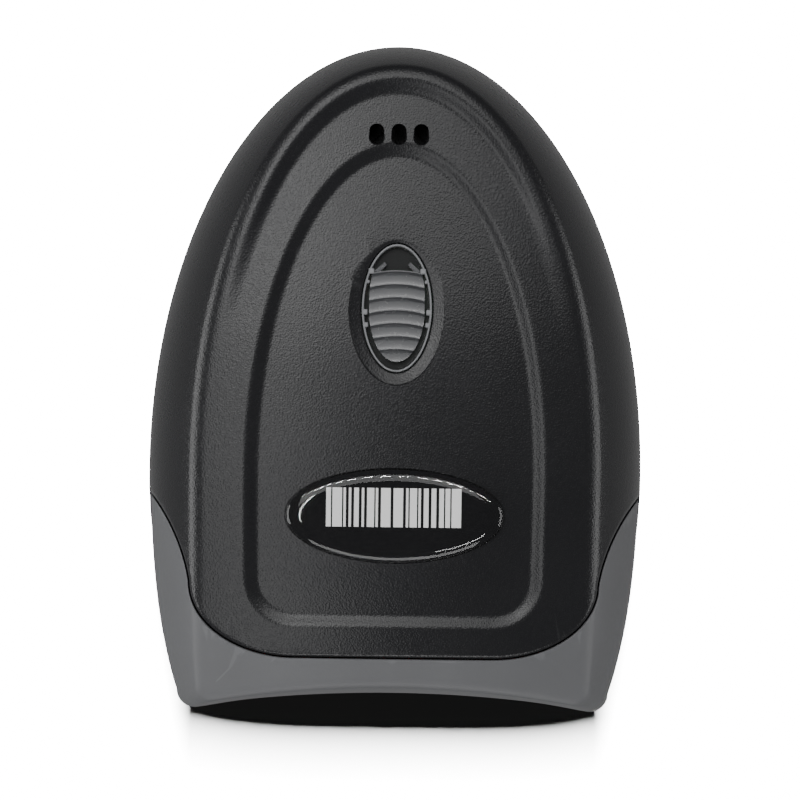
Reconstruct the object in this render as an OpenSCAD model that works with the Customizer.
// Handheld barcode scanner: a wide scanning head on a pistol grip.
// Millimetres. +Z is up, -Y is the way the nose points, and the origin is the
// middle of the grip's flat foot, on the plane it stands on.

/* [Head] */
// Width of the head at its widest station
head_w = 70; // [66:1:74]
// Widest station to the rear tip of the head
head_rear = 60.2; // [58:0.1:62]
// Widest station to the front corners of the nose
head_front = 34.4; // [33:0.1:36]
// How far the middle of the nose edge is set back from its corners
nose_sag = 2.2; // [1:0.1:3]
// Height of the plane where the cover meets the body
part_z = 146; // [144:1:148]
// Rise of the deck's crown above the parting plane
deck_rise = 18; // [17:0.5:19]
// Underside of the head
belly_z = 118; // [116:1:120]

/* [Shell] */
// Wall of the body shells
wall = 2.2; // [2:0.1:2.6]
// Wall of the cover
cover_wall = 2.7; // [2.6:0.1:3]
// Seam between neighbouring shells
seam = 0.2; // [0.1:0.05:0.3]

/* [Grip] */
// Half width of the grip
grip_x = 15; // [14:0.5:16]
// Half depth of the grip
grip_y = 17; // [16:0.5:18]
// Shift of the neck towards the nose
grip_lean = 7; // [5:0.5:8]
// Thickness of the foot cap
foot_h = 5; // [4:0.5:6]

/* [Trigger] */
// Pivot of the trigger in Y and Z
trigger_pivot = [-18, 110];
// Width of the trigger blade
trigger_w = 15; // [13:0.5:16]
// Radius of the steel trigger pin
pin_r = 1.5; // [1.2:0.1:1.6]
// Radial clearance of the trigger on its pin
pin_clearance = 0.06; // [0.02:0.01:0.09]

/* [Window] */
// Width of the scan window opening
window_w = 49; // [44:1:52]
// Height of the scan window opening
window_h = 22; // [20:1:23]

/* [Strap eye] */
// Radius of the hole for a wrist strap
strap_r = 1.2; // [1:0.1:1.4]

/* [Hidden] */
y_wide = -36.2;
half_w = head_w / 2;
top_z = part_z + deck_rise;
crease_w = half_w - 6.8;
crease_rear = head_rear - 3.3;
crease_edge = 1.3;
side_fall = 3.5;
rear_fall = 5;
nose_fall = 4.5;
lip_depth = 1.0;
lip_w = 3;
panel_w = 20.3;
panel_rear = 45.2;
panel_front = 21.3;
panel_depth = 0.8;
panel_slope = 1;
seam_front = 26.5;
neck_z = 106;
flare_share = 0.28;
nose_lean = 2;
slot_y = y_wide + 47.4;
lens_y = y_wide + 22.9;
lens_r = [5, 9.1];
bevel_r = [6.5, 10.6];
badge_y = y_wide - 6.4;
badge_r = [15.4, 6.65];
badge_seat = 1.15;
window_z = 141;
nose_face_y = y_wide - head_front + nose_sag;
window_wall_y = nose_face_y + 3.8;
board_z = 147.5;
board_t = 1.2;
board_top = board_z + board_t;
board_holes = [[15, -52], [-15, -52], [-10, -3]];
cover_posts = [[23, -36], [-23, -36], [0, 17]];
cover_seat_z = 136;
engine_z = 129.5;
engine_floor = engine_z + 1.6;
engine_posts = [[13.4, -36], [-13.4, -36], [13.4, -49.5], [-13.4, -49.5]];
mirror_pos = [3, -44];
beam_z = 137.5;
grip_posts = [10.2, -10.2];
grip_post_z = 104;
foot_posts = [[10, -10], [-10, -10]];
cell_r = 9.1;
cell_z = 19;
cell_h = 65;
cell_y = 0.5;
port_z = 14;
port_seat_y = 16.2;
flap_pin = [16.6, 8.9];
flap_pin_r = 0.5;
switch_z = 97;
switch_board_y = -9.5;
spring_z = 89;
spring_ends = [-22.6, -9.8];
fan_n = 5;
corner_n = 3;
side_n = 6;
rear_n = 13;

// ---------- maths ----------

function lerp(a, b, t) = a + (b - a) * t;
function clamp01(t) = min(1, max(0, t));
function ease(t) = let (c = clamp01(t)) c * c * (3 - 2 * c);
function back(list) = [for (i = [len(list) - 1:-1:0]) list[i]];
function bezier(p, t) = let (s = 1 - t)
    s * s * s * p[0] + 3 * s * s * t * p[1] + 3 * s * t * t * p[2] + t * t * t * p[3];

// ---------- plan outlines of the head ----------

// Narrowing of the head's side at a distance d in front of the widest station
function side_taper(d) = 0.0029 * d * d + 1.14e-6 * pow(d, 4);

// Right half of a closed outline, from the middle of the nose to the rear tip
function half_outline(w, rear, front, corner, sag, n, taper) =
    let (xc = w - taper * side_taper(front - corner) - corner)
    concat(
        [for (k = [0:fan_n - 1]) let (x = xc * k / fan_n)
            [x, y_wide - front + sag * (1 - pow(x / xc, 2))]],
        [for (k = [0:corner_n]) let (a = -90 + 90 * k / corner_n)
            [xc + corner * cos(a), y_wide - front + corner * (1 + sin(a))]],
        [for (k = [1:side_n]) let (d = (front - corner) * (1 - k / side_n))
            [w - taper * side_taper(d), y_wide - d]],
        [for (k = [1:rear_n]) let (a = 90 * k / rear_n)
            [w * pow(cos(a), 2 / n), y_wide + rear * pow(sin(a), 2 / n)]]);

// Whole outline, anticlockwise from above
function outline(w, rear, front, corner, sag, n = 2, taper = 1) =
    let (half = half_outline(w, rear, front, corner, sag, n, taper))
    concat(half, [for (i = [len(half) - 2:-1:1]) [-half[i][0], half[i][1]]]);

function head_outline(o = 0) =
    outline(half_w - o, head_rear - o, head_front - o, max(2.8 - o, 0.4), nose_sag);
function crease_outline(o = 0) =
    outline(crease_w - o, crease_rear - o, head_front - crease_edge - o,
        max(2.4 - o, 0.4), nose_sag, 2.05, 0.12);
function panel_outline(o = 0) =
    outline(panel_w + o, panel_rear + o, panel_front + o, max(6 + o, 0.5), 0, 2, 0.25);

// ---------- heights of the head's top ----------

// The deck is a shallow paraboloid, lower towards the rear and the nose
function deck_z(p) =
    let (d = p[1] - y_wide)
    top_z - side_fall * pow(p[0] / crease_w, 2)
        - (d > 0 ? rear_fall * pow(d / crease_rear, 2) : nose_fall * pow(d / head_front, 2));

// Pitch of the deck at a station on the centre line
function deck_pitch(y) =
    let (d = y - y_wide)
    -atan(d > 0 ? 2 * rear_fall * d / pow(crease_rear, 2) : 2 * nose_fall * d / pow(head_front, 2));

// The deck is let in behind a raised rear rim that fades out towards the nose
function lip_z(p) = lip_depth * ease((p[1] - y_wide - 14) / 34);

// Height along the side wall, from the parting plane at 0 to the crease at 1
function wall_share(u) = 0.42 * u + 0.58 * sqrt(1 - pow(1 - u, 2));

function raise(ring, drop, lip) =
    [for (p = ring) [p[0], p[1], deck_z(p) - drop - lip * lip_z(p)]];

function wall_ring(foot, crown, u, low, o) =
    [for (i = [0:len(foot) - 1])
        let (p = lerp(foot[i], crown[i], u))
        [p[0], p[1], lerp(low, deck_z(crown[i]) - o, wall_share(u))]];

// ---------- skins ----------

// Closed solid through rings of equal length, listed upwards, with fans at both ends
module skin(rings, low_tip, high_tip) {
    n = len(rings[0]);
    m = len(rings);
    low = n * m;
    high = low + 1;
    polyhedron(
        points = concat([for (r = rings) each r], [low_tip, high_tip]),
        faces = concat(
            [for (i = [0:n - 1]) [i, (i + 1) % n, low]],
            [for (k = [0:m - 2], i = [0:n - 1]) let (j = (i + 1) % n)
                each [[k * n + i, (k + 1) * n + i, (k + 1) * n + j],
                    [k * n + i, (k + 1) * n + j, k * n + j]]],
            [for (i = [0:n - 1]) [(m - 1) * n + (i + 1) % n, (m - 1) * n + i, high]]),
        convexity = 8);
}

// Free-form solids that are joined and cut as one mesh
module freeform() {
    resize([0, 0, 0]) union() children();
}

// Upper part of the head, from the parting plane to the deck, with its panel
module head_top() {
    foot = head_outline();
    crown = crease_outline();
    skin(concat(
            [for (u = [0, 0.05, 0.18, 0.4, 0.7, 1]) wall_ring(foot, crown, u, part_z, 0)],
            [raise(crease_outline(lip_w), 0, 1),
                raise(panel_outline(panel_slope), 0, 1),
                raise(panel_outline(-panel_slope), panel_depth, 1),
                raise(panel_outline(-panel_w / 2), panel_depth, 1)]),
        [0, y_wide, part_z],
        [0, y_wide, deck_z([0, y_wide]) - panel_depth]);
}

// Hollow of the upper part
module head_hollow() {
    foot = head_outline(cover_wall);
    crown = crease_outline(cover_wall * 0.8);
    skin(concat(
            [for (u = [0, 0.12, 0.45, 1]) wall_ring(foot, crown, u, part_z - 1, cover_wall + 0.6)],
            [raise(crease_outline(12), cover_wall + 0.4, 1),
                raise(crease_outline(20), cover_wall + 0.4, 1)]),
        [0, y_wide, part_z - 1],
        [0, y_wide, deck_z([0, y_wide]) - cover_wall - 0.4]);
}

// ---------- body: belly of the head and grip, as one swept skin ----------

function grip_half_x(z) = grip_x + 2.4 * exp(-z / 10) + pow(sin(180 * z / neck_z), 2);
function grip_half_y(z) = grip_y + 2.4 * exp(-z / 12) + 0.9 * pow(sin(180 * z / neck_z), 2);
function grip_mid_y(z) = -grip_lean * pow(max(z, 0) / neck_z, 1.3);

function grip_point(a, z, o) =
    let (n = 2.5,
        gx = grip_half_x(z) - o,
        gy = grip_half_y(z) - o,
        r = pow(pow(abs(cos(a)) / gx, n) + pow(abs(sin(a)) / gy, n), -1 / n))
    [r * cos(a), grip_mid_y(z) + r * sin(a), z];

// Direction of an outline point seen from the neck of the grip
function bearing(p) = atan2(p[1] + grip_lean, p[0]);
function nose_share(p) = ease((y_wide - p[1]) / 28);

// Concave flare from the neck out to the underside of the head, h from 0 to 1
function flare_point(p, h, o) =
    let (g = grip_point(bearing(p), neck_z, o),
        m = flare_share * (1 - cos(90 * h)))
    [lerp(g[0], p[0], m), lerp(g[1], p[1], m),
        neck_z + (belly_z + o - neck_z) * sin(90 * h)];

// Underside and sides of the head, h from 0 to 1; the nose is squarer and leans back
function bowl_point(p, h, o) =
    let (g = grip_point(bearing(p), neck_z, o),
        n = lerp(2.5, 6, nose_share(p)),
        m = flare_share + (1 - flare_share) * pow(sin(90 * h), 2 / n),
        drop = pow(cos(90 * h), 2 / n),
        z = part_z - (part_z - belly_z - o) * drop)
    [lerp(g[0], p[0], m), lerp(g[1], p[1], m) + nose_lean * drop * m * nose_share(p), z];

module body_skin(o, low) {
    rim = head_outline(o);
    levels = [low, 4, 12, 24, 38, 54, 70, 84, 96, neck_z];
    skin(concat(
            [for (z = levels) [for (p = rim) grip_point(bearing(p), z, o)]],
            [for (h = [0.3, 0.6, 1]) [for (p = rim) flare_point(p, h, o)]],
            [for (h = [0.1, 0.25, 0.45, 0.65, 0.85, 1]) [for (p = rim) bowl_point(p, h, o)]],
            [[for (p = head_outline(o + 0.6)) [p[0], p[1], part_z + 0.6]]]),
        [0, 0, low],
        [0, y_wide + 20, part_z + 0.6]);
}

// ---------- where the shells divide ----------

// Plan edge of the black cover: a straight front, round corners, then a sweep out to the sides
module cover_plan() {
    sweep = [[28.9, 16], [29.6, 11.5], [32.2, 5.6], [36.2, 2.2]];
    right = concat(
        [for (a = [90:-15:15]) [14 + 14.9 * cos(a), 16 + (seam_front - 16) * sin(a)]],
        [for (t = [0:0.125:1]) bezier(sweep, t)],
        [[45, 2.2], [45, -80]]);
    polygon([for (p = concat(right, [for (q = back(right)) [-q[0], q[1]]])) [p[0], y_wide - p[1]]]);
}

// Side view of the space behind the grey nose, under the parting plane
module body_side() {
    sweep = [[2.2, 0], [7, -4], [14.5, -10], [18, -34]];
    front = [for (t = [0:0.125:1]) let (p = bezier(sweep, t)) [y_wide - p[0], part_z + p[1]]];
    polygon(concat(front, [[y_wide - 18, -10], [60, -10], [60, part_z]]));
}

module cover_region(grow) {
    translate([0, 0, part_z - grow]) linear_extrude(60) offset(delta = grow) cover_plan();
}

module body_region(grow) {
    translate([-60, 0, 0]) rotate([90, 0, 90]) linear_extrude(120)
        offset(delta = grow) body_side();
}

// ---------- small shapes ----------

module oval(r, grow = 0) {
    polygon([for (a = [0:7.5:359]) [(r[0] + grow) * cos(a), (r[1] + grow) * sin(a)]]);
}

module rounded_rect(size, r) {
    for (x = [-1, 1], y = [-1, 1])
        translate([x * (size[0] / 2 - r), y * (size[1] / 2 - r)]) circle(r, $fn = 24);
    square([size[0] - 2 * r, size[1]], center = true);
    square([size[0], size[1] - 2 * r], center = true);
}

// A plate standing in the X-Z plane, its front face at y and its thickness towards +Y
module upright(y, z, t) {
    translate([0, y + t, z]) rotate([90, 0, 0]) linear_extrude(t) children();
}

module post(pos, low, high, r) {
    translate([pos[0], pos[1], low]) cylinder(r = r, h = high - low, $fn = 32);
}

// Pan-head screw pointing up, the underside of its head at z
module screw_up(pos, z, r, length, head_r) {
    difference() {
        union() {
            translate([pos[0], pos[1], z]) cylinder(r = r, h = length, $fn = 32);
            translate([pos[0], pos[1], z - 1.3]) cylinder(r = head_r, h = 1.3, $fn = 32);
        }
        for (a = [0, 90]) translate([pos[0], pos[1], z - 1.3]) rotate(a)
            cube([head_r * 1.2, head_r * 0.35, 1.2], center = true);
    }
}

module screw_down(pos, z, r, length, head_r) {
    translate([pos[0], pos[1], z]) rotate([180, 0, 0]) screw_up([0, 0], 0, r, length, head_r);
}

// Frame lying on the sunken panel at a station on the centre line
module on_deck(y) {
    translate([0, y, deck_z([0, y]) - panel_depth]) rotate([deck_pitch(y), 0, 0]) children();
}

// ---------- shells ----------

module buzzer_slots() {
    for (x = [-3.15, 0, 3.15]) translate([x, slot_y, part_z + 2]) linear_extrude(30)
        rounded_rect([2.06, 2.84], 0.95);
}

module lens_opening() {
    on_deck(lens_y) {
        translate([0, 0, -8]) linear_extrude(10) oval(lens_r, 0.15);
        hull() {
            translate([0, 0, -1.2]) linear_extrude(0.1) oval(lens_r, 0.15);
            linear_extrude(3) oval(bevel_r);
        }
    }
}

module top_cover() {
    color([0.06, 0.06, 0.065]) difference() {
        freeform() {
            difference() {
                intersection() {
                    head_top();
                    cover_region(-seam / 2);
                }
                head_hollow();
                buzzer_slots();
                lens_opening();
                on_deck(badge_y) translate([0, 0, -badge_seat]) linear_extrude(10) oval(badge_r, 0.1);
            }
            for (p = cover_posts) post(p, part_z + seam / 2, deck_z(p) - 2, 2.8);
            for (p = board_holes) post(p, board_top, deck_z(p) - 2, 2.2);
        }
        for (p = cover_posts) post(p, part_z - 1, part_z + 8, 1.05);
        for (p = board_holes) post(p, board_top - 1, board_top + 5, 0.85);
    }
}

module window_cut() {
    upright(nose_face_y - 5, window_z, 12) rounded_rect([window_w, window_h], 6);
    hull() {
        upright(nose_face_y - 4, window_z, 0.1) rounded_rect([window_w + 7, window_h + 7], 8);
        upright(nose_face_y + 2.6, window_z, 0.1) rounded_rect([window_w, window_h], 6);
    }
}

module nose_bezel() {
    color([0.17, 0.17, 0.18]) freeform() {
        difference() {
            union() {
                head_top();
                intersection() {
                    body_skin(0, 0);
                    translate([-60, -120, 60]) cube([120, 120, part_z - 60 + 0.01]);
                }
            }
            cover_region(seam / 2);
            body_region(seam / 2);
            difference() {
                union() {
                    head_hollow();
                    body_skin(cover_wall, 0);
                }
                // Thick front wall around the window opening
                upright(-120, window_z, 120 + window_wall_y) square([120, 80], center = true);
            }
            window_cut();
            // Pocket for the window and its gasket
            upright(window_wall_y, window_z, 6) rounded_rect([window_w + 3.4, window_h + 3.4], 7);
        }
    }
}

module body_shell() {
    difference() {
        intersection() {
            body_skin(0, 0);
            body_region(-seam / 2);
            translate([-60, -120, foot_h + seam / 2])
                cube([120, 200, part_z - foot_h - seam]);
        }
        body_skin(wall, -2);
    }
}

module body_half(front) {
    intersection() {
        children();
        translate([-60, front ? -120 : seam / 4, -5]) cube([120, 120 - seam / 4, 200]);
    }
}

// A trigger ear, standing beside the blade
module trigger_ear(side) {
    translate([side * (trigger_w / 2 + 1.7), trigger_pivot[0] + 0.5, trigger_pivot[1] + 0.5])
        cube([2.2, 11, 12], center = true);
}

// Everything that stands inside the front half, before it is trimmed to the outside
module front_posts() {
    for (p = [cover_posts[0], cover_posts[1]]) post(p, belly_z - 2, part_z - seam / 2, 3.6);
    for (p = engine_posts) post(p, belly_z - 2, engine_z - 0.05, 2.3);
    for (p = foot_posts) post(p, foot_h + seam / 2, 16, 2.6);
    for (x = grip_posts) translate([x, -23, grip_post_z]) rotate([-90, 0, 0])
        cylinder(r = 2.5, h = 22.9, $fn = 24);
    for (side = [-1, 1]) {
        trigger_ear(side);
        // Rib that carries the switch board
        translate([side * 11, switch_board_y - 1.2, 93]) cube([5.5, 2.2, 16], center = true);
    }
}

module body_front() {
    slot_low = 75.6;
    slot_high = trigger_pivot[1] + 3.9;
    color([0.07, 0.07, 0.075]) difference() {
        freeform() difference() {
            union() {
                body_half(true) body_shell();
                intersection() {
                    body_skin(0, 0);
                    front_posts();
                }
            }
            // Opening that the trigger swings in
            translate([-trigger_w / 2 - 0.5, -40, slot_low])
                cube([trigger_w + 1, 25, slot_high - slot_low]);
            for (p = [cover_posts[0], cover_posts[1]]) post(p, belly_z - 5, cover_seat_z, 2.6);
        }
        translate([-12, trigger_pivot[0], trigger_pivot[1]]) rotate([0, 90, 0])
            cylinder(r = pin_r + 0.02, h = 24, $fn = 48);
        for (p = [cover_posts[0], cover_posts[1]]) post(p, cover_seat_z - 4, part_z + 1, 1.3);
        for (p = engine_posts) post(p, engine_z - 6, engine_z + 1, 0.85);
        for (p = foot_posts) post(p, 0, 14, 1.05);
        for (x = grip_posts) translate([x, -16, grip_post_z]) rotate([-90, 0, 0])
            cylinder(r = 1.05, h = 20, $fn = 32);
    }
}

// Everything that stands inside the back half
module back_posts() {
    post(cover_posts[2], belly_z - 2, part_z - seam / 2, 3.6);
    for (x = grip_posts) translate([x, 0.05, grip_post_z]) rotate([-90, 0, 0])
        cylinder(r = 3.2, h = 20, $fn = 24);
    // Block behind the hinge of the port cover, and ledges under the port board
    translate([-7, 13.4, 7.15]) cube([14, 6, 2.9]);
    for (side = [-1, 1]) translate([side * 10.5, 8.5, 10.05]) cube([8, 9, 1.9], center = true);
}

module port_pocket() {
    upright(10, port_z, 20) rounded_rect([10.4, 5.4], 1.6);
    upright(port_seat_y, port_z, 20) rounded_rect([14.6, 8.2], 2.4);
    translate([-4, flap_pin[0] - 1.15, flap_pin[1] - 1.15]) cube([8, 8, 2.4]);
}

module body_back() {
    color([0.07, 0.07, 0.075]) difference() {
        freeform() difference() {
            union() {
                body_half(false) body_shell();
                intersection() {
                    body_skin(0, 0);
                    back_posts();
                }
            }
            post(cover_posts[2], belly_z - 5, cover_seat_z, 2.6);
            for (x = grip_posts) translate([x, 4, grip_post_z]) rotate([-90, 0, 0])
                cylinder(r = 2.4, h = 30, $fn = 24);
            port_pocket();
        }
        post(cover_posts[2], cover_seat_z - 4, part_z + 1, 1.3);
        for (x = grip_posts) translate([x, -2, grip_post_z]) rotate([-90, 0, 0])
            cylinder(r = 1.3, h = 12, $fn = 32);
        translate([-6.4, flap_pin[0], flap_pin[1]]) rotate([0, 90, 0])
            cylinder(r = flap_pin_r + 0.02, h = 12.8, $fn = 32);
    }
}

module foot_cap() {
    lug = [-21.6, 2.5];
    color([0.17, 0.17, 0.18]) difference() {
        freeform() {
            intersection() {
                body_skin(0, 0);
                translate([-60, -60, 0]) cube([120, 120, foot_h - seam / 2]);
            }
            // Rim that stands inside both halves of the grip
            difference() {
                intersection() {
                    body_skin(wall + 0.15, -2);
                    translate([-60, -60, foot_h - 1]) cube([120, 120, 3]);
                }
                body_skin(wall + 1.5, -4);
                for (p = foot_posts) post(p, 0, 20, 3);
            }
            // Strap lug
            translate([-2.5, lug[0], lug[1] - 2.3]) cube([5, 6, 4.6]);
            translate([-2.5, lug[0], lug[1]]) rotate([0, 90, 0]) cylinder(r = 2.4, h = 5, $fn = 32);
        }
        for (p = foot_posts) {
            post(p, -1, 20, 1.3);
            post(p, -1, 2, 2.5);
        }
        translate([-10, lug[0], lug[1]]) rotate([0, 90, 0]) cylinder(r = strap_r, h = 20, $fn = 48);
    }
}

module scan_window() {
    color([0.35, 0.02, 0.03, 0.6]) upright(window_wall_y + 0.85, window_z, 1.5)
        rounded_rect([window_w + 3, window_h + 3], 7);
}

module window_gasket() {
    color([0.03, 0.03, 0.03]) upright(window_wall_y + 0.05, window_z, 0.75) difference() {
        rounded_rect([window_w + 3, window_h + 3], 7);
        rounded_rect([window_w + 0.4, window_h + 0.4], 6);
    }
}

module status_lens() {
    rib_count = 8;
    rib_pitch = 1.85;
    color([0.75, 0.78, 0.8, 0.4]) on_deck(lens_y) {
        translate([0, 0, -2.6]) linear_extrude(1.7) oval(lens_r);
        // Prism ribs under the lens
        translate([0, 0, -3]) linear_extrude(0.5) intersection() {
            oval([4.2, 7.4]);
            for (k = [0:rib_count - 1])
                translate([-5, (k - (rib_count - 1) / 2) * rib_pitch - 0.5]) square([10, 1]);
        }
        // Snap hooks at both sides
        for (x = [-1, 1], y = [-3.5, 3.5]) {
            translate([x * 3.9 - 0.4, y - 1, -4.2]) cube([0.8, 2, 1.8]);
            translate([x * 4.7 - 0.6, y - 1, -4.2]) cube([1.2, 2, 0.9]);
        }
    }
}

module badge_film() {
    color([0.01, 0.01, 0.01]) on_deck(badge_y) translate([0, 0, -badge_seat + 0.02])
        linear_extrude(0.15) oval(badge_r, -0.1);
}

module badge_dome() {
    dome_r = 120;
    dome_top = 0.75;
    low = -badge_seat + 0.19;
    color([0.9, 0.9, 0.9, 0.3]) on_deck(badge_y) intersection() {
        translate([0, 0, low]) linear_extrude(3) oval(badge_r, -0.1);
        translate([0, 0, dome_top - dome_r]) sphere(dome_r, $fn = 360);
    }
}

// ---------- trigger ----------

// Side profile of the trigger in Y and Z: hub, finger scoop, tip and straight back
module trigger_profile() {
    scoop = [[-28.6, 103], [-24.2, 97], [-24.6, 86], [-28.2, 79.2]];
    brow = [[-20, 107.2], [-24.6, 107], [-28, 106.4], [-28.6, 103]];
    polygon(concat(
        [for (t = [0:0.25:0.75]) bezier(brow, t)],
        [for (t = [0:0.1:1]) bezier(scoop, t)],
        [[-27.6, 77.6], [-26, 76.8], [-22.4, 76.9], [-21.2, 78], [-20.2, 90], [-15.4, 104], [-15.4, 109]]));
    translate(trigger_pivot) circle(3.4, $fn = 48);
}

module across(w) {
    translate([-w / 2, 0, 0]) rotate([90, 0, 90]) linear_extrude(w) children();
}

module trigger() {
    color([0.17, 0.17, 0.18]) difference() {
        union() {
            across(trigger_w) trigger_profile();
            // Round-tipped finger that presses the switch
            across(4) {
                translate([-16.2, switch_z]) circle(1.6, $fn = 32);
                translate([-20, switch_z - 1.6]) square([3.8, 3.2]);
            }
        }
        translate([-20, trigger_pivot[0], trigger_pivot[1]]) rotate([0, 90, 0])
            cylinder(r = pin_r + pin_clearance, h = 40, $fn = 48);
        // Pocket for the return spring
        translate([0, -22.9, spring_z]) rotate([-90, 0, 0]) cylinder(r = 3.1, h = 12, $fn = 32);
    }
}

module trigger_pin() {
    color([0.7, 0.7, 0.72]) translate([-11, trigger_pivot[0], trigger_pivot[1]])
        rotate([0, 90, 0]) cylinder(r = pin_r, h = 22, $fn = 48);
}

// Coil of round wire along Y between two stations
module coil_along_y(r, wire, turns, ends, z) {
    steps = 14;
    pitch = (ends[1] - ends[0]) / turns;
    y0 = ends[0];
    loop = [for (k = [0:5]) [wire * cos(60 * k), wire * sin(60 * k)]];
    rings = [for (i = [0:turns * steps]) let (a = 360 * i / steps)
        [for (q = loop) [(r + q[0]) * cos(a), y0 + pitch * i / steps + q[1], z + (r + q[0]) * sin(a)]]];
    m = len(rings);
    polyhedron(
        points = [for (s = rings) each s],
        faces = concat([[5, 4, 3, 2, 1, 0]],
            [for (k = [0:m - 2], i = [0:5]) let (j = (i + 1) % 6)
                each [[k * 6 + i, k * 6 + j, (k + 1) * 6 + j], [k * 6 + i, (k + 1) * 6 + j, (k + 1) * 6 + i]]],
            [[for (i = [0:5]) (m - 1) * 6 + i]]));
}

module trigger_spring() {
    color([0.75, 0.75, 0.76])
        coil_along_y(2.2, 0.25, 6, spring_ends, spring_z);
}

module switch_board() {
    color([0.05, 0.3, 0.12]) upright(switch_board_y, 93, 1.2) square([19.2, 16], center = true);
}

module switch_body() {
    color([0.08, 0.08, 0.08]) difference() {
        upright(-12.6, switch_z, 3.05) square([6.2, 6.2], center = true);
        translate([0, -13, switch_z]) rotate([-90, 0, 0]) cylinder(r = 1.75, h = 3.1, $fn = 32);
    }
}

module switch_plunger() {
    color([0.7, 0.1, 0.08]) translate([0, -14.5, switch_z]) rotate([-90, 0, 0])
        cylinder(r = 1.7, h = 3, $fn = 32);
}

// ---------- electronics under the cover ----------

module board_outline() {
    polygon([[-20, -55], [20, -55], [20, -12], [12, 10], [9, 13.8], [-9, 13.8], [-12, 10], [-20, -12]]);
}

module main_board() {
    color([0.05, 0.3, 0.12]) translate([0, 0, board_z]) linear_extrude(board_t) difference() {
        board_outline();
        for (p = board_holes) translate(p) circle(1.15, $fn = 32);
    }
}

module chip(pos, size) {
    translate([pos[0] - size[0] / 2, pos[1] - size[1] / 2, board_top]) cube(size);
}

module board_chips() {
    color([0.04, 0.04, 0.04]) {
        chip([0, -34], [10, 10, 1.2]);
        chip([12, -30], [5, 6, 1]);
        chip([-12, -34], [4, 5, 1]);
        chip([10, -42], [3, 3, 0.9]);
        chip([-10, -44], [6.4, 3.8, 1.4]);
        for (k = [0:5]) chip([-15 + 3 * k, -24], [1, 2, 0.6]);
    }
}

module radio_module() {
    color([0.6, 0.6, 0.58]) chip([13, -18], [10, 10, 2]);
}

// Sockets under the board: engine ribbon, battery, switch and charging leads
module board_connectors() {
    color([0.85, 0.83, 0.76]) for (c = [[0, -28, 14], [-12, -10, 8], [12, -10, 8]])
        translate([c[0] - c[2] / 2, c[1] - 2, board_z - 2.5]) cube([c[2], 4, 2.5]);
}

module status_leds() {
    color([0.85, 0.85, 0.6]) for (y = [-3, 3]) chip([0, lens_y + y], [3.2, 2.8, 1.9]);
}

module buzzer() {
    color([0.03, 0.03, 0.03]) difference() {
        post([0, 7.5], board_top, board_top + 4.6, 6);
        post([0, 7.5], board_top + 4, board_top + 6, 1);
    }
}

module buzzer_seal() {
    color([0.1, 0.1, 0.1]) difference() {
        post([0, 7.5], board_top + 4.6, board_top + 5.4, 6);
        post([0, 7.5], board_top + 4, board_top + 6, 4.6);
    }
}

module board_screws() {
    color([0.6, 0.6, 0.62]) for (p = board_holes) screw_up(p, board_z, 0.8, 5, 1.7);
}

// ---------- scan engine ----------

module engine_chassis() {
    color([0.55, 0.55, 0.57]) difference() {
        union() {
            // Open tray with its front and top free for the beam
            difference() {
                translate([-17, -60, engine_z]) cube([34, 28, 14.5]);
                translate([-15.4, -61, engine_floor]) cube([30.8, 27.4, 20]);
            }
            // Pedestals of the laser, the mirror and the coil
            translate([-15, -45.5, engine_floor - 0.1]) cube([7, 3, beam_z - 2.65 - engine_floor]);
            mirror_frame() {
                translate([0, 0, 1.5]) cylinder(r = 1.5, h = 1.85, $fn = 32);
                translate([4.6, -1.5, 1.5]) cube([2.4, 3, 2.45]);
            }
        }
        for (p = engine_posts) post(p, engine_z - 1, engine_floor + 1, 1.1);
        post(mirror_pos, engine_z - 1, engine_z + 5, 0.72);
    }
}

module laser_module() {
    color([0.75, 0.6, 0.25]) translate([-15.2, mirror_pos[1], beam_z]) rotate([0, 90, 0])
        difference() {
            cylinder(r = 2.6, h = 8.5, $fn = 40);
            translate([0, 0, 8]) cylinder(r = 0.8, h = 1, $fn = 24);
        }
}

module collector_mirror() {
    color([0.8, 0.8, 0.82]) difference() {
        translate([-6.4, mirror_pos[1] - 6, engine_floor + 0.05]) cube([1.8, 12, 11.7]);
        translate([-8, mirror_pos[1], beam_z]) rotate([0, 90, 0]) cylinder(r = 1, h = 5, $fn = 24);
        translate([14.8, mirror_pos[1], beam_z]) sphere(20, $fn = 90);
    }
}

module photodiode() {
    color([0.3, 0.05, 0.05]) translate([10.5, -57.5, engine_floor + 0.05]) cube([2, 6, 9]);
}

module mirror_frame() {
    translate([mirror_pos[0], mirror_pos[1], engine_z]) rotate(45) children();
}

module scan_mirror() {
    color([0.85, 0.87, 0.9]) mirror_frame() difference() {
        union() {
            translate([-1.3, -5.5, 3.4]) cube([1, 11, 9]);
            translate([0, 0, 3.4]) cylinder(r = 1.5, h = 9, $fn = 32);
        }
        translate([0, 0, 2]) cylinder(r = 0.75, h = 12, $fn = 32);
    }
}

module mirror_magnet() {
    color([0.35, 0.35, 0.37]) mirror_frame() difference() {
        translate([0.2, -1.6, 5.4]) cube([3.2, 3.2, 5]);
        translate([0, 0, 2]) cylinder(r = 1.52, h = 12, $fn = 32);
    }
}

module mirror_shaft() {
    color([0.7, 0.7, 0.72]) mirror_frame() translate([0, 0, 0.6]) cylinder(r = 0.7, h = 13, $fn = 32);
}

module drive_coil() {
    color([0.65, 0.33, 0.15]) mirror_frame() translate([4.6, 0, 7.9]) rotate([0, 90, 0])
        difference() {
            cylinder(r = 3.9, h = 2.4, $fn = 40);
            translate([0, 0, -1]) cylinder(r = 1.4, h = 5, $fn = 24);
        }
}

module engine_board() {
    color([0.05, 0.3, 0.12]) translate([-16, -31.8, engine_floor]) cube([32, 1.1, 12.6]);
}

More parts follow.
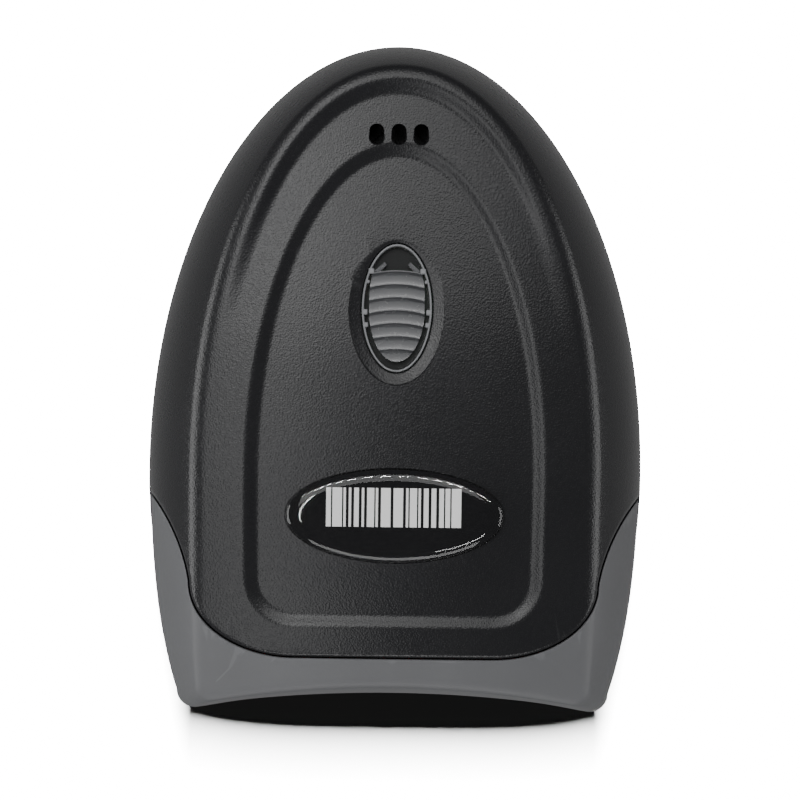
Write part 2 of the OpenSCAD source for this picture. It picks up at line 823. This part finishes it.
module engine_ribbon() {
    color([0.75, 0.5, 0.2]) across(11) polygon([[-30.6, 134], [-30.4, 134], [-30.4, 139], [-28.1, 142],
        [-28.1, 144.9], [-28.3, 144.9], [-28.3, 142.1], [-30.6, 139.1]]);
}

module engine_screws() {
    color([0.6, 0.6, 0.62]) for (p = engine_posts) screw_down(p, engine_floor, 0.8, 6, 1.5);
}

// ---------- power ----------

module battery_cell() {
    color([0.1, 0.25, 0.6]) {
        post([0, cell_y], cell_z, cell_z + cell_h, cell_r);
        post([0, cell_y], cell_z + cell_h, cell_z + cell_h + 1, 3);
    }
}

module battery_tabs() {
    color([0.7, 0.7, 0.68]) {
        translate([-3, cell_y - 3, cell_z + cell_h + 1.05]) cube([6, 9, 0.2]);
        translate([-3, cell_y - 3, cell_z - 0.25]) cube([6, 6, 0.2]);
    }
}

// Round wire through a list of points
module wire(path, r) {
    freeform() {
        for (i = [0:len(path) - 2]) {
            v = path[i + 1] - path[i];
            translate(path[i]) rotate([0, acos(v[2] / norm(v)), atan2(v[1], v[0])])
                cylinder(r = r, h = norm(v), $fn = 12);
        }
        for (i = [1:len(path) - 2]) translate(path[i]) sphere(r, $fn = 12);
    }
}

// Leads up to the sockets under the main board: cell plus, cell minus, port and switch
module wire_harness() {
    wire_r = 0.6;
    color([0.6, 0.03, 0.03]) wire([[-2.3, 4, 85.5], [-3.5, 4, 92], [-3.5, 2.5, 110],
        [-10.5, -9, 140], [-10.5, -10, 144.9]], wire_r);
    color([0.02, 0.02, 0.02]) wire([[-1, 2, 18.1], [-7.6, 7, 17.6], [-7.6, 7, 84],
        [-5.2, 4, 92], [-5.2, 2.5, 110], [-13.5, -9, 140], [-13.5, -10, 144.9]], wire_r);
    color([0.6, 0.6, 0.6]) wire([[5.5, 4, 13.1], [7.6, 7, 19], [7.6, 7, 84],
        [3.5, 4, 92], [3.5, 2.5, 110], [10.5, -9, 140], [10.5, -10, 144.9]], wire_r);
    color([0.05, 0.2, 0.5]) wire([[5, -7.6, 95], [5.2, -4, 100], [5.2, 2.5, 110],
        [13.5, -9, 140], [13.5, -10, 144.9]], wire_r);
}

module port_board() {
    color([0.05, 0.3, 0.12]) translate([-7.5, 2.5, port_z - 2.85]) cube([15, 10.9, 1.2]);
}

module charge_socket() {
    color([0.72, 0.72, 0.74]) difference() {
        upright(9.5, port_z, 5.4) rounded_rect([7.6, 3.2], 0.8);
        upright(11, port_z, 8) rounded_rect([6.9, 2.5], 0.6);
    }
}

module port_cover() {
    plate_y = port_seat_y + 0.05;
    color([0.09, 0.09, 0.09]) difference() {
        union() {
            upright(plate_y, port_z, 1.1) rounded_rect([13.8, 7.4], 2);
            upright(plate_y - 1.1, port_z, 1.2) rounded_rect([9.8, 4.8], 1.4);
            // Strap down to the barrel of the hinge
            upright(plate_y, flap_pin[1] + 0.9, 1.1) square([7.2, 1.8], center = true);
            translate([-3.6, flap_pin[0], flap_pin[1]]) rotate([0, 90, 0])
                cylinder(r = 1, h = 7.2, $fn = 32);
        }
        translate([-5, flap_pin[0], flap_pin[1]]) rotate([0, 90, 0])
            cylinder(r = flap_pin_r + 0.06, h = 10, $fn = 32);
        upright(14, port_z, 2) rounded_rect([7.8, 3], 1);
    }
}

module port_cover_pin() {
    color([0.7, 0.7, 0.72]) translate([-6.3, flap_pin[0], flap_pin[1]]) rotate([0, 90, 0])
        cylinder(r = flap_pin_r, h = 12.6, $fn = 32);
}

// ---------- screws ----------

module cover_screws() {
    color([0.6, 0.6, 0.62]) for (p = cover_posts) screw_up(p, cover_seat_z, 1, 16, 2.3);
}

module grip_screws() {
    color([0.6, 0.6, 0.62]) for (x = grip_posts)
        translate([x, 4, grip_post_z]) rotate([90, 0, 0]) screw_up([0, 0], 0, 1, 14, 2.1);
}

module foot_screws() {
    color([0.6, 0.6, 0.62]) for (p = foot_posts) screw_up(p, 2, 1, 10, 2.2);
}

top_cover();
nose_bezel();
body_front();
body_back();
foot_cap();
scan_window();
window_gasket();
status_lens();
badge_film();
badge_dome();
trigger();
trigger_pin();
trigger_spring();
switch_board();
switch_body();
switch_plunger();
main_board();
board_chips();
radio_module();
board_connectors();
status_leds();
buzzer();
buzzer_seal();
board_screws();
engine_chassis();
engine_board();
engine_ribbon();
engine_screws();
laser_module();
collector_mirror();
photodiode();
scan_mirror();
mirror_magnet();
mirror_shaft();
drive_coil();
battery_cell();
battery_tabs();
wire_harness();
port_board();
charge_socket();
port_cover();
port_cover_pin();
cover_screws();
grip_screws();
foot_screws();
